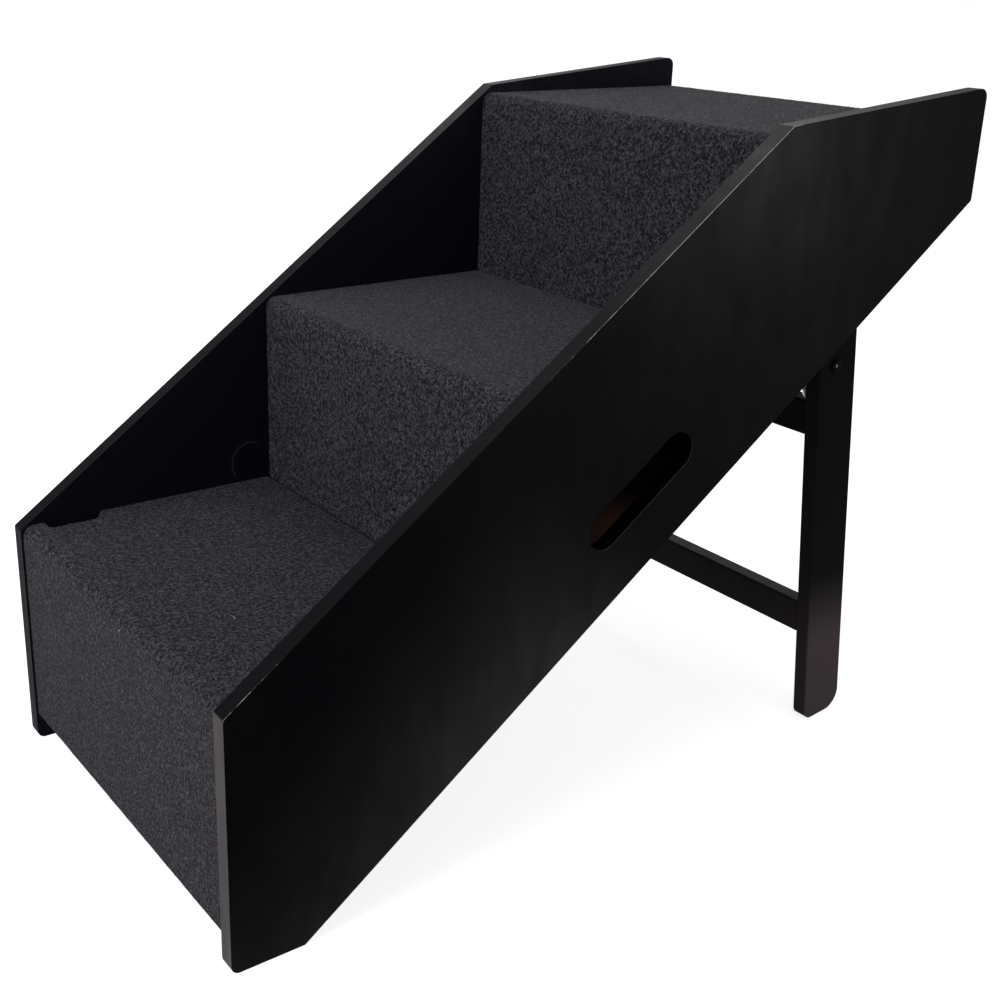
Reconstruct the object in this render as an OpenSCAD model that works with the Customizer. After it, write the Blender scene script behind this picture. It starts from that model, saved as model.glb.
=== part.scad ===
// Folding pet stairs: two side panels, three carpeted steps, a storage well
// under the first tread's lid, and a rear leg frame that folds into the underside.
// Side views are drawn with x from the front edge and y as height; the finished
// part stands on z = 0, climbs towards +X and is centred on the origin.

/* [Overall] */
// Outside width across both side panels
overall_w = 400; // [340:1:480]
// Length from the front edge to the rear edge
overall_l = 743; // [680:1:820]
// Thickness of each side panel
panel_t = 15; // [15:1:19]

/* [Side panels] */
// Length of the flat foot under the front edge
foot_l = 60; // [45:1:75]
// Slope of the long top edge and of the underside, in degrees
slope_deg = 35.9; // [34:0.1:38]
// Distance from the rear edge forward to the top shoulder
shoulder_back = 243; // [220:1:260]
// Height of the upright rear edge
rear_edge_h = 97.5; // [85:0.5:110]
// Corner radius at the front of the foot
foot_r = 7; // [2:0.5:10]
// Corner radius at the top of the rear edge
crest_r = 8; // [2:0.5:12]
// Radius of the other corners of the panel outline
panel_r = 2.5; // [1:0.5:6]

/* [Handle slots] */
// Length of each handle slot
slot_l = 121; // [100:1:140]
// Width of each handle slot
slot_w = 32; // [28:1:36]

/* [Steps] */
// Length of the top tread, from its riser to the rear edge
top_going = 254; // [240:1:270]
// How much less each step rises than the slope does
rise_ease = 0.8; // [0.4:0.2:4]
// How far the first tread stands above the panels' front edges
tread_proud = 3.5; // [2:0.5:9]
// Setback of the first riser behind the panels' front edges
step_setback = 2; // [1:0.5:6]
// Thickness of the tread and riser boards
board_t = 9; // [8:0.5:9.5]
// Thickness of the carpet
carpet_t = 3; // [2.5:0.5:4]
// Outer radius of the carpet round a nosing
nose_r = 10; // [8:0.5:12]
// Height of the first riser's lower edge above the floor
riser_lift = 24; // [21:0.5:25]
// How far the first riser's carpet stops above that edge
riser_bare = 2; // [0:0.5:4]

/* [Lid] */
// Gap on each side between the lid and a panel
lid_side_gap = 1.2; // [0.8:0.1:2]
// Diameter of the lid's pivot pins
lid_pin_d = 5; // [4:0.5:6]
// Length of a lid pin inside the lid
lid_pin_in = 22; // [15:1:30]
// Length of a lid pin inside its bush
lid_pin_out = 8; // [6:0.5:10]
// Distance of the lid's pivot axis from the carpet of the second riser
lid_axis_back = 8.5; // [8.3:0.1:10]
// Length of the finger notch at the lid's edge
notch_l = 53; // [40:1:60]
// How much shorter the notch is at its bottom
notch_flare = 10; // [0:1:14]
// Depth of the finger notch in from the panel
notch_w = 17; // [15:1:26]
// Distance of the finger notch behind the lid's nosing
notch_back = 19; // [14:1:30]
// Corner radius inside the finger notch
notch_r = 6; // [3:0.5:9]

/* [Leg frame] */
// Depth of the recess that the folded legs lie in, under the bottom board
recess_d = 40; // [36:0.5:44]
// Width of each leg
leg_w = 46; // [42:1:48]
// Thickness of each leg
leg_t = 15; // [12:1:18]
// Backward lean of the open legs, in degrees
leg_lean = 6.3; // [4:0.1:9]
// Distance down the slope from the rear edge to the leg pivot
pivot_back = 160.5; // [145:0.5:170]
// Radius of a leg's rear bottom corner
heel_r = 18; // [8:1:20]
// Radius of a leg's front bottom corner
toe_r = 8; // [4:0.5:12]
// Height of the two cross bars
bar_h = 33; // [24:1:34]
// Thickness of the two cross bars
bar_t = 15; // [12:1:18]
// Distance up the leg from its foot to the middle of the stretcher
lower_bar_up = 109; // [80:1:140]

/* [Stays] */
// Distance of the stay bolt down the leg from the pivot
stay_drop = 55; // [52:0.5:58]
// Distance of the stay bolt forward of the leg's middle line
stay_forward = 3; // [0:0.5:4]
// Width of the steel stay
stay_w = 17; // [16:0.5:20]
// Thickness of the steel stay
stay_t = 2; // [1.5:0.5:3]
// Length of the stay past the bolt when the legs are open
stay_tail = 26; // [24:0.5:26]
// Gap between the lower ends of the open stays and the upper bar
stay_bar_gap = 0.5; // [0.4:0.1:10]
// Diameter of the stay bolts and post screws
stay_bolt_d = 6; // [5:0.5:6]

/* [Hidden] */

$fn = 96;
arc_steps = 10;
// Overrun of every cut past the face it opens
over = 1;
// Gap between pieces that move past each other
run_gap = 0.3;
// Radial gap of a shaft in its hole
shaft_gap = 0.05;

// Side-view directions and distances
slope_cos = cos(slope_deg);
slope_sin = sin(slope_deg);
// Point at a distance up the slope from the foot and square to the underside
function on_slope(s, p) = [foot_l + s * slope_cos - p * slope_sin, s * slope_sin + p * slope_cos];
// Height of the line that lies p square above the underside, at a given x
function slope_z(x, p) = (p + (x - foot_l) * slope_sin) / slope_cos;
// Distance up the slope of the point at a given x on the line p above the underside
function slope_s(x, p) = (x - foot_l + p * slope_sin) / slope_cos;
// Place along x where that line reaches a given height
function slope_x(z, p) = foot_l + (z * slope_cos - p) / slope_sin;
// Length of the sloping underside
slope_l = (overall_l - foot_l) / slope_cos;
// Vector v turned by angle a
function turned(v, a) = [v.x * cos(a) - v.y * sin(a), v.x * sin(a) + v.y * cos(a)];

// Distances outward from the middle plane
half_in = overall_w / 2 - panel_t;
leg_gap = 2;
leg_out = half_in - leg_gap;
leg_in = leg_out - leg_t;
stay_out = leg_in - run_gap;
stay_in = stay_out - stay_t;

// The bottom board closes the hollow above the leg recess
bottom_t = 3;
bottom_gap = 1.5;
bottom_low_p = recess_d;
bottom_top_p = bottom_low_p + bottom_t;
inner_corner_p = bottom_top_p + bottom_gap;

// Steps, as low as the bottom board lets the inner corner of the third riser sit
skin_t = carpet_t + board_t;
step_going = (overall_l - step_setback - top_going) / 2;
step_rise = step_going * tan(slope_deg) - rise_ease;
function riser_x(n) = step_setback + (n - 1) * step_going;
first_h = slope_z(riser_x(3) + skin_t, inner_corner_p) + skin_t - step_rise;
function tread_z(n) = first_h + (n - 1) * step_rise;
rear_setback = 1;
rear_x = overall_l - rear_setback;
riser_2_low = slope_z(riser_x(2) + skin_t, inner_corner_p);
seam_gap = 0.7;

// The lid and its pivot
lid_under = tread_z(1) - skin_t;
lid_axis = [riser_x(2) - lid_axis_back, lid_under + board_t / 2];
lid_half_w = half_in - lid_side_gap;
lid_carpet_r = 3;
lid_carpet_back = 2.2;
lid_carpet_end = lid_axis.x + lid_carpet_back + lid_carpet_r;
bush_wall = 2;
bush_h = lid_pin_out + run_gap;

// Ends of the bottom board
bottom_start = slope_s(riser_x(1) + skin_t, bottom_top_p) + run_gap;
bottom_end = min((tread_z(3) - skin_t - bottom_top_p * slope_cos) / slope_sin,
    slope_s(rear_x, bottom_low_p)) - run_gap;

// Handle slots sit just above the bottom board, midway along the slope
slot_lift = 0.5;
slot_s = slope_l / 2;
slot_p = bottom_top_p + slot_lift + slot_w / 2;

// Leg frame
fold_gap = 0.8;
pivot_p = bottom_low_p - fold_gap - leg_w / 2;
pivot = on_slope(slope_l - pivot_back, pivot_p);
fold_deg = 90 - slope_deg + leg_lean;
leg_l = toe_r + (pivot.y - (leg_w / 2 - toe_r) * sin(leg_lean) - toe_r) / cos(leg_lean);
lower_bar_d = leg_l - lower_bar_up;
pivot_bolt_d = 8;
pivot_head_d = 16;
pivot_head_h = 3;
pivot_tip_d = 6;
insert_d = 10;
insert_l = 12;
washer_d = 20;
dowel_d = 8;
dowel_l = 24;
dowel_in_leg = 10;
dowel_share = 0.27;
bar_r = 2;

// Stays: bolt and post lie on one circle round the pivot, so a stay turns
// half as far as the legs and its bolt never leaves the slot
stay_bolt_at = [-stay_forward, -stay_drop];
stay_circle = norm(stay_bolt_at);
stay_bolt = pivot + turned(stay_bolt_at, leg_lean);
stay_bolt_folded = pivot + turned(stay_bolt_at, leg_lean - fold_deg);
stay_post = pivot + stay_circle * [slope_cos, slope_sin];
stay_open_l = norm(stay_bolt - stay_post);
stay_folded_l = norm(stay_bolt_folded - stay_post);
stay_angle = atan2(stay_bolt.y - stay_post.y, stay_bolt.x - stay_post.x);
// Angle between the open stays and the legs
stay_lean = leg_lean - 90 - stay_angle;
upper_bar_d = stay_drop + stay_tail * cos(stay_lean) + stay_w / 2 + stay_bar_gap + bar_h / 2;
stay_slot_gap = 0.2;
stay_slot_spare = 2;
stay_head_d = 12;
stay_head_h = 1.4;
stay_nut_h = 4;
post_d = 12;
post_screw_in = 10;
post_head_h = 2.5;

// Cleats and their screws
cleat_w = 15;
cleat_t = 15;
batten_h = 12;
screw_d = 4;
screw_head_d = 7.5;
screw_head_h = 2.2;
screw_in = 10;
screw_inset = 18;
rest_gap = run_gap;
riser_cleat_drop = 20;
front_cleat_foot = 22;
batten_screw_l = 12;
batten_l = 120;
batten_front = 34;
batten_gap = 10;
// Distances up the slope where the bottom battens start
batten_starts = [batten_front, slope_s(riser_x(3) + skin_t + cleat_t, bottom_top_p + batten_h) + batten_gap];

// Arc that rounds corner b between a and c with radius r
function rounded_corner(a, b, c, r) =
    r == 0 ? [b] :
    let (u = (a - b) / norm(a - b), v = (c - b) / norm(c - b))
    let (half = acos(u * v) / 2, m = u + v)
    let (centre = b + m / norm(m) * (r / sin(half)))
    let (from = b + u * (r / tan(half)) - centre, to = b + v * (r / tan(half)) - centre)
    let (start = atan2(from.y, from.x), turn = atan2(to.y, to.x) - start)
    let (sweep = turn > 180 ? turn - 360 : turn < -180 ? turn + 360 : turn)
    [for (i = [0 : arc_steps]) let (a = start + sweep * i / arc_steps) centre + r * [cos(a), sin(a)]];

// Closed outline with every corner rounded to its own radius
function rounded(points, radii) =
    let (n = len(points))
    [for (i = [0 : n - 1])
        each rounded_corner(points[(i + n - 1) % n], points[i], points[(i + 1) % n], radii[i])];

// Side-view drawing made solid between two distances across the part
module across(y0, y1) {
    translate([-overall_l / 2, y1, 0]) rotate([90, 0, 0])
        linear_extrude(height = y1 - y0) children();
}

// The same, measured outward from the middle plane on one side
module on_side(side, inner, outer) {
    across(side > 0 ? inner : -outer, side > 0 ? outer : -inner) children();
}

// Round bar along Y at a side-view place, measured outward from the middle plane
module rod(side, at, inner, outer, d) {
    on_side(side, inner, outer) translate(at) circle(d = d);
}

module slot_shape(l, w) {
    translate([-(l - w) / 2, 0]) circle(d = w);
    translate([(l - w) / 2, 0]) circle(d = w);
    translate([-(l - w) / 2, -w / 2]) square([l - w, w]);
}

// Side panels
module panel_outline() {
    rear_z = slope_z(overall_l, 0);
    front_h = first_h - tread_proud;
    shoulder = [overall_l - shoulder_back, front_h + (overall_l - shoulder_back) * tan(slope_deg)];
    points = [[0, 0], [foot_l, 0], [overall_l, rear_z], [overall_l, rear_z + rear_edge_h],
        shoulder, [0, front_h]];
    polygon(rounded(points, [foot_r, panel_r, panel_r, crest_r, panel_r, panel_r]));
}

module side_panel(side) {
    color([0.05, 0.05, 0.055]) difference() {
        on_side(side, half_in, overall_w / 2) difference() {
            panel_outline();
            translate(on_slope(slot_s, slot_p)) rotate(slope_deg) slot_shape(slot_l, slot_w);
        }
        rod(side, pivot, half_in - over, half_in + insert_l, insert_d);
        rod(side, stay_post, half_in - over, half_in + post_screw_in, stay_bolt_d);
        rod(side, lid_axis, half_in - over, half_in + bush_h, lid_pin_d + 2 * (shaft_gap + bush_wall));
        for (at = cleat_screw_places) rod(side, at, half_in - over, half_in + screw_in, screw_d);
    }
}

module side_panel_right() side_panel(-1);
module side_panel_left() side_panel(1);

// Riser and tread boards
module riser_board(n, low) {
    color([0.55, 0.42, 0.3]) across(-half_in, half_in)
        translate([riser_x(n) + carpet_t, low]) square([board_t, tread_z(n) - skin_t - low]);
}

module tread_board(n, end_x) {
    x = riser_x(n) + carpet_t;
    z = tread_z(n) - carpet_t;
    color([0.55, 0.42, 0.3]) across(-half_in, half_in)
        polygon(rounded([[x, z - board_t], [end_x, z - board_t], [end_x, z], [x, z]],
            [0, 0, 0, nose_r - carpet_t]));
}

module riser_1_board() {
    color([0.55, 0.42, 0.3]) across(-half_in, half_in)
        translate([riser_x(1) + carpet_t, riser_lift]) square([board_t, lid_under - rest_gap - riser_lift]);
}

module riser_2_board() riser_board(2, riser_2_low);
module riser_3_board() riser_board(3, tread_z(2) - carpet_t);
module tread_2_board() tread_board(2, riser_x(3) + skin_t);
module tread_3_board() tread_board(3, rear_x);

// Bottom board, closing the hollow under the steps
module bottom_board() {
    color([0.42, 0.26, 0.16]) difference() {
        across(-half_in, half_in) translate([foot_l, 0]) rotate(slope_deg)
            translate([bottom_start, bottom_low_p]) square([bottom_end - bottom_start, bottom_t]);
        bottom_screw_set();
    }
}

// Carpet of one step: riser face, nosing and tread, one carpet thickness deep
module carpet_profile(x0, low, z1, x1, end_r) {
    difference() {
        polygon(rounded([[x0, low], [x1, low], [x1, z1], [x0, z1]], [0, 0, end_r, nose_r]));
        polygon(rounded([[x0 + carpet_t, low - over], [x1 + over, low - over], [x1 + over, z1 - carpet_t],
            [x0 + carpet_t, z1 - carpet_t]], [0, 0, 0, nose_r - carpet_t]));
    }
}

module riser_1_carpet() {
    color([0.2, 0.2, 0.23]) across(-half_in, half_in)
        translate([riser_x(1), riser_lift + riser_bare])
            square([carpet_t, lid_under - seam_gap - riser_lift - riser_bare]);
}

module step_2_carpet() {
    color([0.2, 0.2, 0.23]) across(-half_in, half_in)
        carpet_profile(riser_x(2), riser_2_low, tread_z(2), riser_x(3) + carpet_t, 0);
}

module step_3_carpet() {
    color([0.2, 0.2, 0.23]) across(-half_in, half_in)
        carpet_profile(riser_x(3), tread_z(2), tread_z(3), rear_x, 0);
}

// Lid over the storage well, with a finger notch in its left edge
module finger_notch() {
    x0 = riser_x(1) + notch_back - overall_l / 2;
    inner = half_in - notch_w;
    translate([0, 0, lid_under - over]) linear_extrude(height = skin_t + 2 * over)
        polygon(rounded([[x0, inner], [x0 + notch_l - notch_flare, inner],
            [x0 + notch_l, half_in], [x0 + notch_l, half_in + over], [x0, half_in + over]],
            [notch_r, notch_r, 0, 0, 0]));
}

module lid_board() {
    x = riser_x(1) + carpet_t;
    top = tread_z(1) - carpet_t;
    color([0.55, 0.42, 0.3]) difference() {
        across(-lid_half_w, lid_half_w) {
            polygon(rounded([[x, lid_under], [lid_axis.x, lid_under], [lid_axis.x, top], [x, top]],
                [0, 0, 0, nose_r - carpet_t]));
            translate(lid_axis) circle(d = board_t);
        }
        finger_notch();
        for (side = [-1, 1])
            rod(side, lid_axis, lid_half_w - lid_pin_in, lid_half_w + over, lid_pin_d);
    }
}

module lid_carpet() {
    color([0.2, 0.2, 0.23]) difference() {
        across(-lid_half_w, lid_half_w)
            carpet_profile(riser_x(1), lid_under, tread_z(1), lid_carpet_end, lid_carpet_r);
        finger_notch();
    }
}

module lid_pins() {
    color([0.7, 0.7, 0.72]) for (side = [-1, 1])
        rod(side, lid_axis, lid_half_w - lid_pin_in, half_in + lid_pin_out, lid_pin_d);
}

module lid_pin_bushes() {
    color([0.85, 0.85, 0.82]) for (side = [-1, 1]) difference() {
        rod(side, lid_axis, half_in, half_in + bush_h, lid_pin_d + 2 * (shaft_gap + bush_wall));
        rod(side, lid_axis, half_in - over, half_in + bush_h + over, lid_pin_d + 2 * shaft_gap);
    }
}

// Cleats: each row is a side-view rectangle as [x, z, length, height]
tread_cleat_gap = 4;
tread_cleat_end_gap = 48;
// Distance that the top tread's cleats stop short of the bottom board
cleat_board_gap = 31;
tread_cleat_step = skin_t + cleat_t + tread_cleat_gap;
lid_rest_x = riser_x(1) + notch_back + notch_l + notch_r;
riser_1_cleat = [riser_x(1) + skin_t, riser_lift + front_cleat_foot, cleat_t,
    lid_under - riser_lift - front_cleat_foot - riser_cleat_drop];
riser_cleat_h = step_rise - skin_t - 2 * riser_cleat_drop;
riser_2_cleat = [riser_x(2) + skin_t, tread_z(1) + carpet_t, cleat_t, riser_cleat_h];
riser_3_cleat = [riser_x(3) + skin_t, tread_z(2) + carpet_t, cleat_t, riser_cleat_h];
lid_rest = [lid_rest_x, lid_under - rest_gap - cleat_t, lid_axis.x - cleat_t - lid_rest_x, cleat_t];
tread_2_cleat = [riser_x(2) + tread_cleat_step, tread_z(2) - skin_t - cleat_t,
    step_going + skin_t - tread_cleat_end_gap - tread_cleat_step, cleat_t];
tread_3_cleat_end = min(rear_x, slope_x(tread_z(3) - skin_t - cleat_t, bottom_top_p)) - cleat_board_gap;
tread_3_cleat = [riser_x(3) + tread_cleat_step, tread_z(3) - skin_t - cleat_t,
    tread_3_cleat_end - riser_x(3) - tread_cleat_step, cleat_t];
cleats = [riser_1_cleat, riser_2_cleat, riser_3_cleat, lid_rest, tread_2_cleat, tread_3_cleat];

// Two screws in each cleat, near its ends along its longer side
function cleat_ends(c) = c[2] > c[3]
    ? [[c.x + screw_inset, c.y + c[3] / 2], [c.x + c[2] - screw_inset, c.y + c[3] / 2]]
    : [[c.x + c[2] / 2, c.y + screw_inset], [c.x + c[2] / 2, c.y + c[3] - screw_inset]];
cleat_screw_places = [for (c = cleats) each cleat_ends(c)];

module cleat_pair(c) {
    color([0.6, 0.5, 0.36]) for (side = [-1, 1]) difference() {
        on_side(side, half_in - cleat_w, half_in) translate([c.x, c.y]) square([c[2], c[3]]);
        for (at = cleat_ends(c)) {
            rod(side, at, half_in - cleat_w - over, half_in + over, screw_d);
            rod(side, at, half_in - cleat_w - over, half_in - cleat_w + screw_head_h, screw_head_d);
        }
    }
}

module riser_1_cleats() cleat_pair(riser_1_cleat);
module riser_2_cleats() cleat_pair(riser_2_cleat);
module riser_3_cleats() cleat_pair(riser_3_cleat);
module lid_rests() cleat_pair(lid_rest);
module tread_2_cleats() cleat_pair(tread_2_cleat);
module tread_3_cleats() cleat_pair(tread_3_cleat);

module cleat_screws() {
    color([0.75, 0.73, 0.6]) for (side = [-1, 1]) for (at = cleat_screw_places) {
        rod(side, at, half_in - cleat_w, half_in + screw_in, screw_d);
        rod(side, at, half_in - cleat_w, half_in - cleat_w + screw_head_h, screw_head_d);
    }
}

// Battens on the panels that hold the bottom board
module bottom_battens() {
    color([0.6, 0.5, 0.36]) difference() {
        for (side = [-1, 1]) for (s = batten_starts)
            on_side(side, half_in - cleat_w, half_in) translate([foot_l, 0]) rotate(slope_deg)
                translate([s, bottom_top_p]) square([batten_l, batten_h]);
        bottom_screw_set();
    }
}

// Flush screws up through the bottom board into the battens
module bottom_screw_set() {
    for (side = [-1, 1]) for (s = batten_starts) for (inset = [screw_inset, batten_l - screw_inset]) {
        at = on_slope(s + inset, bottom_low_p);
        translate([at.x - overall_l / 2, side * (half_in - cleat_w / 2), at.y]) rotate([0, -slope_deg, 0]) {
            cylinder(d = screw_d, h = batten_screw_l);
            cylinder(d = screw_head_d, h = screw_head_h);
        }
    }
}

module bottom_screws() {
    color([0.75, 0.73, 0.6]) bottom_screw_set();
}

// Leg frame, drawn with the pivot at the origin and the leg pointing down
module leg_outline() {
    circle(d = leg_w);
    polygon(rounded([[-leg_w / 2, 0], [-leg_w / 2, -leg_l], [leg_w / 2, -leg_l], [leg_w / 2, 0]],
        [0, toe_r, heel_r, 0]));
}

module leg_placed() {
    translate(pivot) rotate(leg_lean) children();
}

// Places of the bars' dowels, as side-view points in the leg's own frame
dowel_places = [for (d = [upper_bar_d, lower_bar_d]) for (k = [-1, 1])
    [-leg_w / 2 + bar_t / 2, -d + k * dowel_share * bar_h]];

module leg(side) {
    color([0.06, 0.055, 0.055]) difference() {
        on_side(side, leg_in, leg_out) leg_placed() leg_outline();
        rod(side, pivot, leg_in - over, leg_out + over, pivot_bolt_d + 2 * shaft_gap);
        rod(side, pivot, leg_in - over, leg_in + pivot_head_h + 2 * run_gap, pivot_head_d + 2 * run_gap);
        rod(side, stay_bolt, leg_in - over, leg_out + over, stay_bolt_d);
        on_side(side, leg_in - over, leg_in + dowel_in_leg) leg_placed()
            for (at = dowel_places) translate(at) circle(d = dowel_d);
    }
}

module leg_right() leg(-1);
module leg_left() leg(1);

module leg_bar(d) {
    color([0.06, 0.055, 0.055]) difference() {
        across(-leg_in, leg_in) leg_placed() translate([-leg_w / 2, -d - bar_h / 2])
            polygon(rounded([[0, 0], [bar_t, 0], [bar_t, bar_h], [0, bar_h]], [bar_r, bar_r, bar_r, bar_r]));
        for (side = [-1, 1]) on_side(side, leg_in + dowel_in_leg - dowel_l, leg_in + over) leg_placed()
            for (at = dowel_places) translate(at) circle(d = dowel_d);
    }
}

module leg_crossbar() leg_bar(upper_bar_d);
module leg_stretcher() leg_bar(lower_bar_d);

module frame_dowels() {
    color([0.72, 0.6, 0.42]) for (side = [-1, 1])
        on_side(side, leg_in + dowel_in_leg - dowel_l, leg_in + dowel_in_leg) leg_placed()
            for (at = dowel_places) translate(at) circle(d = dowel_d);
}

// Leg pivots: shoulder bolt, threaded insert and washer on each side
module pivot_bolts() {
    color([0.72, 0.72, 0.75]) for (side = [-1, 1]) {
        rod(side, pivot, leg_in + run_gap, leg_in + run_gap + pivot_head_h, pivot_head_d);
        rod(side, pivot, leg_in + run_gap, half_in, pivot_bolt_d);
        rod(side, pivot, leg_in + run_gap, half_in + insert_l, pivot_tip_d);
    }
}

module pivot_inserts() {
    color([0.8, 0.65, 0.3]) for (side = [-1, 1]) difference() {
        rod(side, pivot, half_in, half_in + insert_l, insert_d);
        rod(side, pivot, half_in - over, half_in + insert_l + over, pivot_tip_d);
    }
}

module pivot_washers() {
    color([0.9, 0.9, 0.88]) for (side = [-1, 1]) difference() {
        rod(side, pivot, leg_out + run_gap, half_in, washer_d);
        rod(side, pivot, leg_out, half_in + over, pivot_bolt_d);
    }
}

// Slotted steel stay from its post on the panel to the bolt on the leg
module stay(side) {
    stay_l = stay_open_l + stay_tail;
    travel = stay_folded_l - stay_open_l + stay_slot_spare;
    opening = stay_bolt_d + 2 * stay_slot_gap;
    color([0.78, 0.78, 0.8]) on_side(side, stay_in, stay_out)
        translate(stay_post) rotate(stay_angle) difference() {
            translate([stay_l / 2, 0]) slot_shape(stay_l + stay_w, stay_w);
            circle(d = stay_bolt_d + 2 * shaft_gap);
            translate([stay_open_l + travel / 2, 0]) slot_shape(travel + opening, opening);
        }
}

module stay_right() stay(-1);
module stay_left() stay(1);

module stay_bolts() {
    color([0.72, 0.72, 0.75]) for (side = [-1, 1]) {
        rod(side, stay_bolt, stay_in - run_gap - stay_nut_h, leg_out, stay_bolt_d);
        rod(side, stay_bolt, leg_out, leg_out + stay_head_h, stay_head_d);
    }
}

module stay_nuts() {
    color([0.72, 0.72, 0.75]) for (side = [-1, 1]) difference() {
        on_side(side, stay_in - run_gap - stay_nut_h, stay_in - run_gap)
            translate(stay_bolt) circle(d = stay_head_d, $fn = 6);
        rod(side, stay_bolt, stay_in - run_gap - stay_nut_h - over, stay_in, stay_bolt_d);
    }
}

module stay_posts() {
    color([0.72, 0.72, 0.75]) for (side = [-1, 1]) difference() {
        rod(side, stay_post, stay_out + run_gap, half_in, post_d);
        rod(side, stay_post, stay_out, half_in + over, stay_bolt_d);
    }
}

module stay_post_screws() {
    color([0.72, 0.72, 0.75]) for (side = [-1, 1]) {
        rod(side, stay_post, stay_in - run_gap - post_head_h, half_in + post_screw_in, stay_bolt_d);
        rod(side, stay_post, stay_in - run_gap - post_head_h, stay_in - run_gap, stay_head_d);
    }
}

side_panel_right();
side_panel_left();
riser_1_board();
riser_2_board();
riser_3_board();
tread_2_board();
tread_3_board();
lid_board();
bottom_board();
riser_1_carpet();
lid_carpet();
step_2_carpet();
step_3_carpet();
riser_1_cleats();
riser_2_cleats();
riser_3_cleats();
lid_rests();
tread_2_cleats();
tread_3_cleats();
bottom_battens();
cleat_screws();
bottom_screws();
lid_pins();
lid_pin_bushes();
leg_right();
leg_left();
leg_crossbar();
leg_stretcher();
frame_dowels();
pivot_bolts();
pivot_inserts();
pivot_washers();
stay_right();
stay_left();
stay_bolts();
stay_nuts();
stay_posts();
stay_post_screws();
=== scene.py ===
import math
import random

import bmesh
import bpy
from mathutils import Matrix, Vector, noise


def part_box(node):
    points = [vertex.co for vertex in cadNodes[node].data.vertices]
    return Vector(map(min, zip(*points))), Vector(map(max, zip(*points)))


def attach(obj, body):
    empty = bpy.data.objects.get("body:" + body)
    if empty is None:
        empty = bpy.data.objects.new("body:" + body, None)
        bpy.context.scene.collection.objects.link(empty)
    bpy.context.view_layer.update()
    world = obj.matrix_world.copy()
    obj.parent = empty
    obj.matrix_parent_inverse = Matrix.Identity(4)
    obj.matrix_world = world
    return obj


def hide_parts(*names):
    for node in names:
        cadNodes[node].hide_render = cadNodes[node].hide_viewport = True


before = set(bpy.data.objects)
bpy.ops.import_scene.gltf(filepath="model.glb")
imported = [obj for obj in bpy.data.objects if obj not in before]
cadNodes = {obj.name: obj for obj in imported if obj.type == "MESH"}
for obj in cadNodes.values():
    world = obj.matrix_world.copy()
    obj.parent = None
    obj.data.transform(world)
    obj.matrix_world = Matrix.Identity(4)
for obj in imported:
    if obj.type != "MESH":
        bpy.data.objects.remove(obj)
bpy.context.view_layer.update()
print("frame loaded:", len(cadNodes), "nodes")

# the stair's own lines, seen from the side: x runs to the rear and z is height, in metres
stair = {
    "slope": math.radians(35.9),
    "length": 0.743,
    "halfLength": 0.3715,
    "footLength": 0.060,
    "innerFace": 0.185,
    "treadProud": 0.0035,
    "flatFace": 0.0004,
}
slopeRight = Vector((math.cos(stair["slope"]), 0, math.sin(stair["slope"])))
slopeUp = Vector((-math.sin(stair["slope"]), 0, math.cos(stair["slope"])))
slopeFoot = Vector((stair["footLength"] - stair["halfLength"], 0, 0))
slopeLength = (stair["length"] - stair["footLength"]) / math.cos(stair["slope"])


# the middle of a CAD node's box, in the side view
def middleOf(node):
    low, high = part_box(node)
    return Vector(((low.x + high.x) / 2, 0, (low.z + high.z) / 2))


# modelling helpers; all but startEdit, selectEdges and selectFaces leave Blender in object mode

def deselectAll():
    if bpy.context.mode != "OBJECT":
        bpy.ops.object.mode_set(mode="OBJECT")
    bpy.ops.object.select_all(action="DESELECT")


def pick(piece):
    deselectAll()
    piece.select_set(True)
    bpy.context.view_layer.objects.active = piece


def applyPlace(piece):
    pick(piece)
    bpy.ops.object.transform_apply(location=True, rotation=True, scale=True)


def addBox(name, low, high):
    low, high = Vector(low), Vector(high)
    deselectAll()
    bpy.ops.mesh.primitive_cube_add(size=1, location=(low + high) / 2)
    piece = bpy.context.active_object
    piece.name = piece.data.name = name
    piece.scale = high - low
    applyPlace(piece)
    return piece


def addRound(name, x, z, y0, y1, diameter, vertices=48):
    deselectAll()
    bpy.ops.mesh.primitive_cylinder_add(
        vertices=vertices, radius=diameter / 2, depth=abs(y1 - y0),
        location=(x, (y0 + y1) / 2, z), rotation=(math.pi / 2, 0, 0))
    piece = bpy.context.active_object
    piece.name = piece.data.name = name
    applyPlace(piece)
    return piece


def linkMesh(name, points, faces):
    mesh = bpy.data.meshes.new(name)
    mesh.from_pydata([tuple(p) for p in points], [], faces)
    piece = bpy.data.objects.new(name, mesh)
    bpy.context.scene.collection.objects.link(piece)
    return piece


def startEdit(piece, kind):
    pick(piece)
    bpy.ops.object.mode_set(mode="EDIT")
    bpy.ops.mesh.select_mode(type=kind)
    bpy.ops.mesh.select_all(action="DESELECT")
    return bmesh.from_edit_mesh(piece.data)


def selectEdges(piece, wanted):
    mesh = startEdit(piece, "EDGE")
    for edge in mesh.edges:
        edge.select_set(wanted(edge.verts[0].co, edge.verts[1].co))
    bmesh.update_edit_mesh(piece.data)


def selectFaces(piece, wanted):
    mesh = startEdit(piece, "FACE")
    for face in mesh.faces:
        face.select_set(wanted(face.calc_center_median(), face.normal))
    bmesh.update_edit_mesh(piece.data)


def endEdit():
    bpy.ops.object.mode_set(mode="OBJECT")


def cutAway(piece, point, outward):
    startEdit(piece, "EDGE")
    bpy.ops.mesh.select_all(action="SELECT")
    bpy.ops.mesh.bisect(plane_co=point, plane_no=outward, use_fill=True, clear_outer=True)
    endEdit()


def roundEdges(piece, wanted, offset, segments):
    selectEdges(piece, wanted)
    bpy.ops.mesh.bevel(offset=offset, offset_type="OFFSET", segments=segments, affect="EDGES")
    endEdit()


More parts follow.
